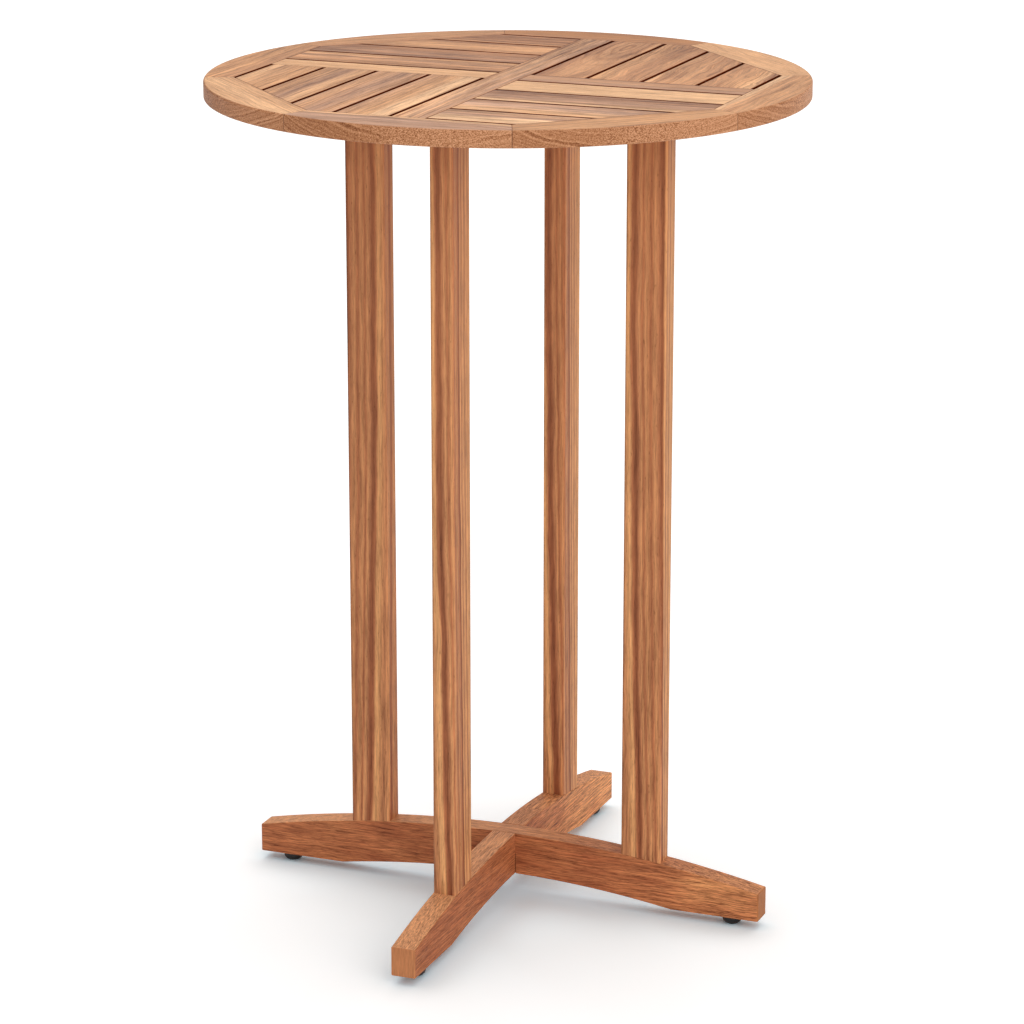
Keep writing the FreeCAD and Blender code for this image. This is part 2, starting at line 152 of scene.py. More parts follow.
# Colours of the painted floor shadow, by the floor's ambient occlusion
FLOOR_TONES = [
    (0.45, (0.79, 0.97, 1.06, 1)), (0.72, (0.84, 0.938, 0.972, 1)),
    (0.88, (0.915, 0.945, 0.955, 1)), (0.97, (0.975, 0.98, 0.98, 1)),
]
# The painted shade in the gaps, the dirt and painted shade along their edges, and the seams at the board ends
GAP_COLOR = srgb(100, 38, 14)
SEAM_COLOR = srgb(84, 46, 30)
POST_MEAN_COLOR = srgb(192, 127, 85)
# Painted light on the upward faces of the beams
PAINTED_TOP_LIGHT_COLOR = srgb(229, 168, 118)
FLOOR_COLOR = (0.90, 0.90, 0.90, 1)
WHITE = (1, 1, 1, 1)
DARK_BAND_TINT = (0.61, 0.49, 0.41, 1)
DARKEST_TINT = (0.24, 0.16, 0.12, 1)
LIGHTEST_TINT = (1.80, 1.84, 1.80, 1)


class Graph:
    """Builds a material's node tree with short calls."""

    def __init__(self, name):
        self.material = bpy.data.materials.new(name)
        self.material.use_nodes = True
        self.tree = self.material.node_tree
        self.tree.nodes.clear()

    def node(self, kind, inputs=(), **settings):
        node = self.tree.nodes.new(kind)
        for key, value in settings.items():
            setattr(node, key, value)
        for key, value in dict(inputs).items():
            self.feed(node.inputs[key], value)
        return node

    def feed(self, socket, value):
        if isinstance(value, bpy.types.NodeSocket):
            self.tree.links.new(value, socket)
        else:
            socket.default_value = value

    def math(self, operation, first, second=0.0):
        return self.node("ShaderNodeMath", {0: first, 1: second}, operation=operation).outputs[0]

    def add(self, first, second):
        return self.math("ADD", first, second)

    def times(self, first, second):
        return self.math("MULTIPLY", first, second)

    def larger(self, first, second):
        return self.math("MAXIMUM", first, second)

    def distance(self, value, middle=0):
        """How far a value is from a fixed middle, on either side."""
        return self.math("ABSOLUTE", self.add(value, -middle) if middle else value)

    def swing(self, noise, amount):
        """How far a noise is above or below its middle, times an amount."""
        return self.times(self.add(noise, -0.5), amount)

    def vector(self, operation, first, second):
        node = self.node("ShaderNodeVectorMath", {0: first, 1: second}, operation=operation)
        return node.outputs["Value" if operation in ("DOT_PRODUCT", "LENGTH") else "Vector"]

    def combine(self, parts):
        return self.node("ShaderNodeCombineXYZ", dict(enumerate(parts))).outputs[0]

    def separate(self, point):
        return self.node("ShaderNodeSeparateXYZ", {0: point}).outputs

    def remap(self, value, low, high, to_low=0.0, to_high=1.0, smooth=False):
        kind = "SMOOTHSTEP" if smooth else "LINEAR"
        inputs = {0: value, 1: low, 2: high, 3: to_low, 4: to_high}
        return self.node("ShaderNodeMapRange", inputs, interpolation_type=kind).outputs[0]

    def ramp(self, value, stops, kind="LINEAR"):
        node = self.node("ShaderNodeValToRGB", {0: value})
        node.color_ramp.interpolation = kind
        elements = node.color_ramp.elements
        while len(elements) < len(stops):
            elements.new(0.5)
        for element, (place, color) in zip(elements, stops):
            element.position = place
            element.color = color
        return node.outputs[0]

    def mix(self, share, first, second, blend="MIX"):
        inputs = {0: share, 6: first, 7: second}
        return self.node("ShaderNodeMix", inputs, data_type="RGBA", blend_type=blend).outputs[2]

    def noise(self, point, scale, offset, detail=2.0, roughness=0.5):
        """Noise on a point in mm, stretched by a scale per axis in 1/mm."""
        shifted = (offset * 7.31, offset * 3.17, offset * 5.77)
        place = self.node("ShaderNodeVectorMath", {0: point, 1: scale, 2: shifted}, operation="MULTIPLY_ADD")
        inputs = {"Vector": place.outputs[0], "Scale": 1.0, "Detail": detail, "Roughness": roughness}
        return self.node("ShaderNodeTexNoise", inputs).outputs[0]

    def line_noise(self, value, scale, offset, detail, roughness=0.55):
        """Noise along one value in mm, by a scale in 1/mm."""
        place = self.add(self.times(value, scale), offset)
        inputs = {"W": place, "Scale": 1.0, "Detail": detail, "Roughness": roughness}
        return self.node("ShaderNodeTexNoise", inputs, noise_dimensions="1D").outputs[0]

    def finish(self, color, roughness, height, relief, **sockets):
        """Ends the material, with a relief in mm on its surface."""
        bump = self.node("ShaderNodeBump", {"Strength": 1.0, "Distance": relief * MM, "Height": height})
        inputs = {"Base Color": color, "Roughness": roughness, "Normal": bump.outputs[0]}
        inputs.update({key.replace("_", " "): value for key, value in sockets.items()})
        shader = self.node("ShaderNodeBsdfPrincipled", inputs)
        self.node("ShaderNodeOutputMaterial", {0: shader.outputs[0]})
        return self.material


def assign(node, material):
    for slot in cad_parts[node].material_slots:
        slot.material = material


# What all the wood shares

def object_place(graph):
    """The shaded place in metres, in the table's frame."""
    return graph.node("ShaderNodeTexCoord").outputs["Object"]


def in_millimetres(graph, place):
    return graph.vector("MULTIPLY", place, (1 / MM, 1 / MM, 1 / MM))


def local_frame(graph, place, centre, along, across, up):
    """The point in mm in a piece's own frame: along its grain, across its width and through its thickness."""
    point = graph.vector("SUBTRACT", in_millimetres(graph, place), centre)
    parts = [graph.vector("DOT_PRODUCT", point, axis) for axis in (along, across, up)]
    return graph.combine(parts), parts


def warp(graph, point, parts, seed, wide, narrow):
    """The same point with its growth lines bent by a slow wander and a short ripple along the grain."""
    wander = graph.noise(point, (0.006, 0.02, 0.02), seed)
    ripple = graph.noise(point, (0.022, 0.05, 0.05), seed + 1.3)
    u, v, w = parts
    v = graph.add(v, graph.add(graph.swing(wander, wide), graph.swing(ripple, narrow)))
    return graph.combine((u, v, w)), v


def fine_grain(graph, point, seed, streaks, fibres, clouds, pores=0.2, fineness=1.0):
    """How light the wood is from streaks, fibres, clouds and pores, with its roughness and its relief."""
    def stretched(lengthwise, crosswise):
        return (lengthwise, crosswise * fineness, crosswise * fineness)

    broad = graph.noise(point, stretched(0.004, 0.09), seed + 1.9, detail=3.0, roughness=0.6)
    streak = graph.noise(point, stretched(0.008, 0.26), seed + 3.3, detail=5.0, roughness=0.74)
    fibre = graph.noise(point, stretched(0.022, 0.48), seed + 4.2, detail=4.0, roughness=0.7)
    cloud = graph.noise(point, (0.010, 0.03, 0.03), seed + 2.9)
    pore = graph.remap(graph.noise(point, (0.11, 1.3, 1.3), seed + 6.0, detail=1.0), 0.58, 0.72)
    light = 1.0
    for value, amount in ((broad, streaks * 0.6), (streak, streaks), (fibre, fibres), (cloud, clouds)):
        light = graph.add(light, graph.swing(value, amount))
    light = graph.add(light, graph.times(pore, -pores))
    rough = graph.add(graph.remap(fibre, 0.3, 0.7, 0.45, 0.60), graph.times(pore, 0.15))
    height = graph.add(graph.times(fibre, 0.5), graph.times(pore, -0.6))
    return light, rough, height


def lit(graph, color, light):
    """A wood tone made lighter or darker, where darker wood is also redder."""
    stops = [(0.0, DARKEST_TINT), (0.5, WHITE), (1.0, LIGHTEST_TINT)]
    return graph.mix(1.0, color, graph.ramp(graph.remap(light, 0.2, 1.8), stops), "MULTIPLY")


# Wood of the table top

def straight_bands(graph, bent, tilted, seed, fineness):
    """Where dark growth bands run along a board."""
    lines = graph.line_noise(tilted, fineness / 4.5, seed * 9.7, detail=4.0, roughness=0.65)
    patch = graph.noise(bent, (0.006, 0.13, 0.13), seed + 7.7, detail=3.0, roughness=0.6)
    return graph.remap(graph.add(graph.times(lines, 0.5), graph.times(patch, 0.5)), 0.49, 0.37, smooth=True)


def oval_bands(graph, u, v, eye, seed):
    """Where dark growth bands run in ovals round one place of a board, fading towards its low end."""
    lengthwise = graph.times(graph.add(u, -eye[0]), 0.24)
    crosswise = graph.add(v, -eye[1])
    squares = graph.add(graph.times(lengthwise, lengthwise), graph.times(crosswise, crosswise))
    rings = graph.line_noise(graph.math("SQRT", squares), 1 / 6, seed * 5.1, detail=3.0)
    return graph.times(graph.remap(rings, 0.53, 0.34, smooth=True), graph.remap(u, -60, 70, 0.15, 0.95))


def turned_edge(graph, place, point, parts, seed, flat_place, edge_light):
    """Where a rim piece's turned edge is, and its colour: speckled end grain in the middle of the piece
    and slanting lines near its mitres."""
    u, w = parts[0], parts[2]
    radius = graph.vector("LENGTH", graph.vector("MULTIPLY", place, (1, 1, 0)), (0, 0, 0))
    radius = graph.times(radius, 1 / MM)
    outer = graph.remap(radius, TABLE_RADIUS - EDGE_START, TABLE_RADIUS - EDGE_FULL, smooth=True)
    aside = graph.add(u, -flat_place)
    ends = graph.remap(graph.distance(aside), 30, 100, smooth=True)
    speckle = graph.noise(point, (0.60, 0.60, 0.95), seed + 11, detail=3.0, roughness=0.8)
    spots = graph.times(graph.swing(speckle, graph.add(1.0, graph.times(ends, -0.45))), 6.0)
    rise = graph.times(graph.times(aside, aside), -0.0011)
    wave = graph.swing(graph.noise(point, (0.02, 0.02, 0.05), seed + 12), 12)
    slanted = graph.add(graph.add(w, rise), wave)
    sweep = graph.line_noise(slanted, 1 / 3.6, seed + 13, detail=4.0, roughness=0.7)
    sweeps = graph.times(graph.swing(sweep, graph.add(0.5, ends)), 1.35)
    paler = graph.remap(u, -70, 70, edge_light - 0.15, edge_light + 0.13, smooth=True)
    shade = graph.add(graph.add(spots, sweeps), paler)
    return outer, graph.ramp(graph.remap(shade, -0.8, 0.8), EDGE_TONES)


def mitre_seam(graph, u, v, outer):
    """A thin dark line at each end of a rim piece, darker on the turned edge."""
    half_angle = math.radians(45 / 2)
    reach = graph.times(graph.add(v, TABLE_RADIUS - RIM_WIDTH / 2), -math.sin(half_angle))
    mitre = graph.add(graph.times(graph.distance(u), math.cos(half_angle)), reach)
    return graph.times(graph.remap(mitre, -0.8, -0.3, smooth=True), graph.add(0.30, graph.times(outer, 0.3)))


def end_dirt(graph, place, u, centre, along, from_rail):
    """A thin line of dirt where a board's ends meet the rim and, if it starts there, a rail."""
    parts = graph.separate(graph.vector("ABSOLUTE", place, (0, 0, 0)))
    straight = graph.larger(parts[0], parts[1])
    slanted = graph.times(graph.add(parts[0], parts[1]), math.sqrt(0.5))
    reach = graph.times(graph.larger(straight, slanted), 1 / MM)
    seam = graph.remap(reach, OPENING_APOTHEM - SEAM_START, OPENING_APOTHEM - SEAM_FULL, smooth=True)
    if from_rail:
        offset = sum(centre[axis] * along[axis] for axis in range(3))
        start = graph.distance(graph.add(u, offset))
        near_rail = graph.remap(start, RAIL_HALF + SEAM_START, RAIL_HALF + SEAM_FULL, smooth=True)
        seam = graph.larger(seam, near_rail)
    return graph.times(seam, 0.50)


def banded_color(graph, bent, parts, width, stops, seed, band, fineness, eye):
    """A board's tone profile from its low side to its high side, with dark growth bands."""
    u, bent_v, w = parts
    tilted = graph.add(bent_v, graph.times(graph.add(w, -TOP_HALF), 0.55))
    share = graph.remap(tilted, -width / 2, width / 2)
    color = graph.ramp(share, [(position, srgb(*TONES[key])) for position, key in stops], "B_SPLINE")
    if eye:
        dark_band = oval_bands(graph, u, bent_v, eye, seed)
    else:
        dark_band = straight_bands(graph, bent, tilted, seed, fineness)
    # Pale sapwood has hardly any dark bands
    sapwood = graph.remap(graph.node("ShaderNodeRGBToBW", {0: color}).outputs[0], 0.45, 0.55, 1.0, 0.25)
    dark_band = graph.times(graph.times(dark_band, band), sapwood)
    return graph.mix(dark_band, color, DARK_BAND_TINT, "MULTIPLY")


def board_light(graph, light, u, fade, eye):
    """Makes a board lighter or darker along its length, in part as painted shade towards the back."""
    light = graph.add(light, graph.remap(u, -FADE_REACH, FADE_REACH, fade, -fade))
    if eye:
        # A light stretch before the ovals, and a dark one where they begin
        light = graph.add(light, graph.remap(graph.distance(u, -35), 70, 10, 0.0, 0.12, smooth=True))
        light = graph.add(light, graph.remap(graph.distance(u, 45), 32, 0, 0.0, -0.12, smooth=True))
    return light


def top_wood(
    name, centre, along, across, width, stops, seed, streak, band,
    figure=0.0, fineness=1.0, fade=0.0, edge_dirt_and_shade=0.40, from_rail=True, eye=None, edge=None,
):
    """Oiled hardwood of the table top: a tone profile across the board, with growth bands and fine grain.
    A rim piece has an edge: the flat place of its end grain and how light it is."""
    graph = Graph(name)
    place = object_place(graph)
    point, parts = local_frame(graph, place, centre, along, across, Z)
    u, v, w = parts
    bent, bent_v = warp(graph, point, parts, seed, 10 + 75 * figure, 3 + 13 * figure)
    color = banded_color(graph, bent, (u, bent_v, w), width, stops, seed, band, fineness, eye)
    grain = {"streaks": 0.45 + 1.7 * streak, "fibres": 1.1 + 0.4 / fineness, "clouds": 0.45, "pores": 0.25}
    light, rough, height = fine_grain(graph, bent, seed, fineness=fineness, **grain)
    light = board_light(graph, light, u, fade, eye)
    if edge:
        outer, edge_color = turned_edge(graph, place, point, parts, seed, *edge)
        light = graph.mix(outer, light, WHITE)
        color = graph.mix(outer, color, edge_color)
        color = graph.mix(mitre_seam(graph, u, v, outer), color, SEAM_COLOR)
        from_side = graph.add(v, width / 2)
    else:
        from_side = graph.add(graph.times(graph.distance(v), -1.0), width / 2)
    # Painted shade: the sides of the gaps are painted dark below the worn arris, and dirt with painted shade
    # lies along the arris
    wall = graph.remap(from_side, 0.8, 0.3)
    shade = graph.times(wall, graph.remap(w, TOP_HALF - 0.02, TOP_HALF - 0.25))
    dirt_and_shade = graph.times(graph.remap(from_side, 1.5, 0.5, smooth=True), edge_dirt_and_shade)
    if not edge:
        dirt_and_shade = graph.larger(dirt_and_shade, end_dirt(graph, place, u, centre, along, from_rail))
    color = graph.mix(graph.larger(shade, dirt_and_shade), color, GAP_COLOR)
    # Less sheen where the gap shade is painted
    sheen = graph.remap(shade, 0.0, 1.0, TOP_SHEEN, 0.0)
    return graph.finish(lit(graph, color, light), rough, height, WOOD_RELIEF, Specular_IOR_Level=sheen)


# Slats, with tones from the low side to the high side of each board

slat_tones = {
    "slat_front_left_1": [
        (0.0, "rose"), (0.3, "honey"), (0.52, "honey"), (0.62, "pale"), (0.68, "cream"), (0.85, "cream"),
        (1.0, "straw"),
    ],
    "slat_front_left_2": [
        (0.0, "rose"), (0.2, "honey"), (0.42, "rose"), (0.6, "grey"), (0.75, "rose"), (0.9, "honey"),
        (1.0, "rose"),
    ],
    "slat_front_left_3": [
        (0.0, "tan"), (0.25, "honey"), (0.48, "grey"), (0.6, "rose"), (0.75, "pale"), (0.9, "pale"),
        (1.0, "honey"),
    ],
    "slat_front_left_4": [
        (0.0, "pale"), (0.14, "straw"), (0.28, "tan"), (0.4, "pale"), (0.5, "tan"), (0.62, "honey"),
        (1.0, "honey"),
    ],
    "slat_back_right_1": [
        (0.0, "walnut"), (0.12, "brown"), (0.3, "tan"), (0.65, "tan"), (0.85, "brown"), (1.0, "honey"),
    ],
    "slat_back_right_2": [
        (0.0, "honey"), (0.3, "tan"), (0.55, "brown"), (0.7, "brown"), (0.9, "tan"), (1.0, "brown"),
    ],
    "slat_back_right_3": [
        (0.0, "pale"), (0.12, "brown"), (0.4, "tan"), (0.6, "tan"), (0.8, "brown"), (1.0, "honey"),
    ],
    "slat_back_right_4": [
        (0.0, "brown"), (0.25, "tan"), (0.6, "tan"), (0.75, "honey"), (0.87, "straw"), (0.94, "honey"),
        (1.0, "brown"),
    ],
    "slat_front_right_1": [(0.0, "straw"), (0.5, "straw"), (1.0, "straw")],
    "slat_front_right_2": [
        (0.0, "cream"), (0.12, "cream"), (0.18, "honey"), (0.26, "grey"), (0.6, "grey"), (0.78, "walnut"),
        (1.0, "grey"),
    ],
    "slat_front_right_3": [
        (0.0, "pale"), (0.3, "pale"), (0.5, "ash"), (0.7, "ash"), (0.85, "rose"), (1.0, "grey"),
    ],
    "slat_front_right_4": [
        (0.0, "cream"), (0.2, "cream"), (0.48, "cream"), (0.54, "ash"), (0.60, "grey"), (0.72, "grey"),
        (0.84, "pale"), (1.0, "ash"),
    ],
    "slat_back_left_1": [
        (0.0, "honey"), (0.14, "brown"), (0.4, "tan"), (0.65, "rose"), (0.8, "honey"), (1.0, "honey"),
    ],
    "slat_back_left_2": [(0.0, "grey"), (0.3, "walnut"), (0.45, "grey"), (0.7, "brown"), (1.0, "walnut")],
    "slat_back_left_3": [
        (0.0, "pale"), (0.14, "brown"), (0.36, "honey"), (0.55, "tan"), (0.8, "tan"), (1.0, "brown"),
    ],
    "slat_back_left_4": [
        (0.0, "tan"), (0.2, "walnut"), (0.36, "brown"), (0.5, "walnut"), (0.66, "brown"), (0.84, "walnut"),
        (1.0, "walnut"),
    ],
}
# How much lighter a board is at its low end than in its middle: partly the wood's own tone, and on the boards
# that run front to back partly painted shade that darkens them towards the back
fades = {
    "slat_front_left_1": 0.06, "slat_front_left_2": 0.11,
    "slat_front_left_3": 0.11, "slat_front_left_4": 0.06,
    "slat_back_right_1": 0.04, "slat_back_right_2": 0.20,
    "slat_back_right_3": 0.18, "slat_back_right_4": 0.11,
    "slat_front_right_3": 0.12, "slat_front_right_4": -0.08,
    "slat_back_left_1": 0.08, "slat_back_left_2": -0.08, "slat_back_left_3": -0.10,
}
# How far the growth lines bend
figured = {
    "slat_back_right_1": 0.25, "slat_back_right_2": 0.4, "slat_back_right_3": 0.4, "slat_back_right_4": 0.7,
}
# The middle of the oval growth bands, along and across the board
eyes = {"slat_back_right_1": (95, 3)}
# How strong the streaks and the dark bands are, how fine the lines, and how dark the dirt and painted shade
# along the edges
looks_along_y = ((0.7, 0.8), 1.0, 0.40)
looks_along_x = ((1.25, 0.9), 0.55, 0.62)
# The two strengths, where a board differs from the others of its direction
strengths = {"slat_back_right_1": (0.4, 0.8), "slat_front_right_1": (0.3, 0.15)}
quarter_signs = {"front_left": (-1, -1), "front_right": (1, -1), "back_right": (1, 1), "back_left": (-1, 1)}


def dress_slat(name, stops, seed):
    quarter, number = name[len("slat_"):-2], int(name[-1])
    side_x, side_y = quarter_signs[quarter]
    out = RAIL_HALF + SLAT_GAP + (number - 1) * (SLAT_WIDTH + SLAT_GAP) + SLAT_WIDTH / 2
    if quarter in ("front_left", "back_right"):
        centre, along, across = (side_x * out, side_y * BOARD_ORIGIN, TOP_MIDDLE), Y, X
        strength, fineness, edge_dirt_and_shade = looks_along_y
    else:
        centre, along, across = (side_x * BOARD_ORIGIN, side_y * out, TOP_MIDDLE), X, Y
        strength, fineness, edge_dirt_and_shade = looks_along_x
    assign(name, top_wood(
        name, centre, along, across, SLAT_WIDTH, stops, seed, *strengths.get(name, strength),
        figure=figured.get(name, 0.0), fineness=fineness, fade=fades.get(name, 0.0), edge_dirt_and_shade=edge_dirt_and_shade,
        eye=eyes.get(name),
    ))


for index, (name, stops) in enumerate(slat_tones.items()):
    dress_slat(name, stops, 1.0 + index * 1.7)

# Rails: centre, directions along and across, tones, strength of the grain, and fade

rails = {
    "main_rail": (
        (0, 0, TOP_MIDDLE), Y, X,
        [
            (0.0, "pale"), (0.15, "rose"), (0.3, "pale"), (0.45, "ash"), (0.6, "honey"), (0.8, "ash"),
            (1.0, "tan"),
        ],
        1.0, 0.16,
    ),
    "cross_rail_left": (
        (-BOARD_ORIGIN, 0, TOP_MIDDLE), X, Y,
        [(0.0, "straw"), (0.3, "pale"), (0.6, "pale"), (0.8, "straw"), (1.0, "pale")],
        0.35, 0.0,
    ),
    "cross_rail_right": (
        (BOARD_ORIGIN, 0, TOP_MIDDLE), X, Y,
        [(0.0, "brown"), (0.2, "ash"), (0.6, "tan"), (1.0, "grey")],
        0.55, 0.05,
    ),
}
for index, (name, (centre, along, across, stops, strength, fade)) in enumerate(rails.items()):
    # The rails get dirt and painted shade along their edges
    assign(name, top_wood(
        name, centre, along, across, 2 * RAIL_HALF, stops, 40.0 + index * 2.3, strength, strength,
        fade=fade, edge_dirt_and_shade=0.55, from_rail=name != "main_rail",
    ))

# Rim pieces in order round the table, with tones from the inner side to the outer side: tones, strength
# of the grain, fade, the flat place of the edge's end grain, and how light the edge is

rims = {
    "rim_right": (
        [
            (0.0, "cream"), (0.12, "cream"), (0.2, "tan"), (0.42, "tan"), (0.55, "honey"), (0.75, "tan"),
            (1.0, "honey"),
        ],
        0.6, 0.07, 40, 0.10,
    ),
    "rim_back_right": ([(0.0, "straw"), (0.2, "pale"), (1.0, "pale")], 0.2, 0.0, 60, 0.0),
    "rim_back": (
        [(0.0, "brown"), (0.4, "russet"), (0.7, "russet"), (1.0, "walnut")],
        0.3, 0.0, -60, -0.10,
    ),
    "rim_back_left": (
        [(0.0, "brown"), (0.3, "tan"), (0.6, "tan"), (1.0, "brown")],
        0.6, -0.06, 40, -0.10,
    ),
    "rim_left": (
        [(0.0, "tan"), (0.25, "brown"), (0.4, "honey"), (0.7, "tan"), (1.0, "tan")],
        0.6, -0.12, -80, -0.12,
    ),
    "rim_front_left": (
        [(0.0, "pale"), (0.3, "pale"), (0.5, "straw"), (0.8, "pale"), (1.0, "pale")],
        0.45, -0.06, -60, -0.18,
    ),
    "rim_front": (
        [
            (0.0, "cream"), (0.08, "straw"), (0.15, "grey"), (0.3, "ash"), (0.5, "ash"), (0.65, "grey"),
            (0.8, "ash"), (1.0, "rose"),
        ],
        1.0, 0.0, 50, -0.03,
    ),
    "rim_front_right": ([(0.0, "honey"), (0.5, "honey"), (1.0, "honey")], 0.7, -0.09, 25, 0.03),
}
for eighth, (name, (stops, strength, fade, flat_place, edge_light)) in enumerate(rims.items()):
    angle = math.radians(45 * eighth)
    outward = (math.cos(angle), math.sin(angle), 0)
    along = (-math.sin(angle), math.cos(angle), 0)
    middle = TABLE_RADIUS - RIM_WIDTH / 2
    centre = (outward[0] * middle, outward[1] * middle, TOP_MIDDLE)
    assign(name, top_wood(
        name, centre, along, outward, RIM_WIDTH, stops, 60.0 + eighth * 3.1, strength, strength,
        figure=0.1, fade=fade, edge=(flat_place, edge_light),
    ))


# Posts: the same long bands on all four, which drift sideways on their way down

# Distance from the main dark line across the faces, in mm, and the tone there
# The amber near 38 mm is partly a painted highlight, for the right post's corner that faces the light
POST_BANDS = [
    (-45, "mid"), (-38, "gold"), (-33, "russet"), (-31, "umber"), (-29, "russet"), (-25, "gold"),
    (-17, "mid"), (-12, "gold"), (-9, "amber"), (-6.5, "amber"), (-3.5, "russet"), (-0.8, "umber"),
    (1.5, "umber"), (4.5, "mid"), (7, "gold"), (10, "russet"), (14, "gold"), (20, "russet"),
    (24, "gold"), (28, "mid"), (31, "russet"), (32.5, "umber"), (34.5, "umber"), (36, "gold"),
    (38, "amber"), (40.5, "russet"), (43, "gold"), (46.5, "amber"), (50, "russet"), (53.5, "amber"),
    (60, "gold"), (64, "amber"),
]


def post_bands(graph, u, across):
    """The bands' colour, fainter towards the top."""
    low, high = POST_BANDS[0][0], POST_BANDS[-1][0]
    share = graph.remap(across, low, high)
    stops = [((distance - low) / (high - low), srgb(*POST_TONES[key])) for distance, key in POST_BANDS]
    faint = graph.remap(u, 380, -330, 0.28, 0.08)
    return graph.mix(faint, graph.ramp(share, stops), POST_MEAN_COLOR)


def corner_highlight_and_shade(graph, v, w, half_x, half_y):
    """A painted highlight on the rounded corner that faces right and front, and painted shade along all four
    corners.
    """
    reach = half_x + half_y
    corner = graph.add(graph.distance(v), graph.distance(w))
    facing = graph.remap(graph.add(v, graph.times(w, -1.0)), reach - 4.0, reach - 1.5, smooth=True)
    corner_shade = graph.remap(corner, reach - 3.0, reach - 1.2, smooth=True)
    return graph.add(graph.times(facing, 0.44), graph.times(corner_shade, -0.30))


def post_wood(name, centre, half_x, half_y, dark_line, turn, seed):
    """Hardwood with long upright bands: the dark line is the main band's place across the front face, and
    turn is the side to which the bands drift."""
    graph = Graph(name)
    point, parts = local_frame(graph, object_place(graph), centre, Z, X, Y)
    u, v, w = parts
    bent, bent_v = warp(graph, point, parts, seed, 6, 3.2)
    down = graph.remap(u, 340, -450, 0.0, 1.42)
    drift = graph.add(graph.times(graph.times(down, down), 6.5), -1.0)
    aside = graph.times(graph.add(bent_v, -dark_line), turn)
    around = graph.add(aside, graph.times(graph.add(w, half_y), turn))
    across = graph.add(around, graph.times(drift, -1.0))
    color = post_bands(graph, u, across)
    lines = graph.line_noise(across, 1 / 2.6, seed * 3.3, detail=3.0, roughness=0.65)
    patch = graph.noise(bent, (0.010, 0.16, 0.16), seed + 7.7, detail=4.0, roughness=0.65)
    flame = graph.noise(bent, (0.030, 0.12, 0.12), seed + 8.9, detail=3.0)
    blotches = graph.add(graph.swing(lines, 0.35), graph.swing(patch, 0.45))
    blotches = graph.add(blotches, graph.swing(flame, 0.35))
    light, rough, height = fine_grain(graph, bent, seed, streaks=0.5, fibres=1.6, clouds=0.35)
    light = graph.add(light, blotches)
    # The fine lines and the blotches get stronger on the way down
    light = graph.add(1.0, graph.times(graph.add(light, -1.0), graph.remap(u, 450, -450, 0.72, 1.25)))
    speck = graph.remap(graph.noise(point, (0.12, 0.42, 0.42), seed + 9.6, detail=1.0), 0.70, 0.78)
    light = graph.add(light, graph.times(speck, -0.28))
    # Painted shade at the top of each post, under the table top
    light = graph.add(light, graph.remap(u, 370, 450, 0.0, -0.14))
    # Painted highlight on one corner and painted shade along all corners
    light = graph.add(light, corner_highlight_and_shade(graph, v, w, half_x, half_y))
    return graph.finish(lit(graph, color, light), rough, height, WOOD_RELIEF, Specular_IOR_Level=FRAME_SHEEN)


arms = {"right": (1, 0), "back": (0, 1), "left": (-1, 0), "front": (0, -1)}
dark_lines = {"right": (-12, 1), "back": (-6, 1), "left": (8.5, -1), "front": (-3, 1)}
for index, (arm, (side_x, side_y)) in enumerate(arms.items()):
    name = "post_" + arm
    centre = (side_x * POST_OFFSET, side_y * POST_OFFSET, POST_ORIGIN)
    halves = (POST_HALF_WIDTH, POST_HALF_THICKNESS) if side_x else (POST_HALF_THICKNESS, POST_HALF_WIDTH)
    assign(name, post_wood(name, centre, *halves, *dark_lines[arm], 5.0 + 0.7 * index))


# Base beams and the hidden battens: fine level grain on the sides

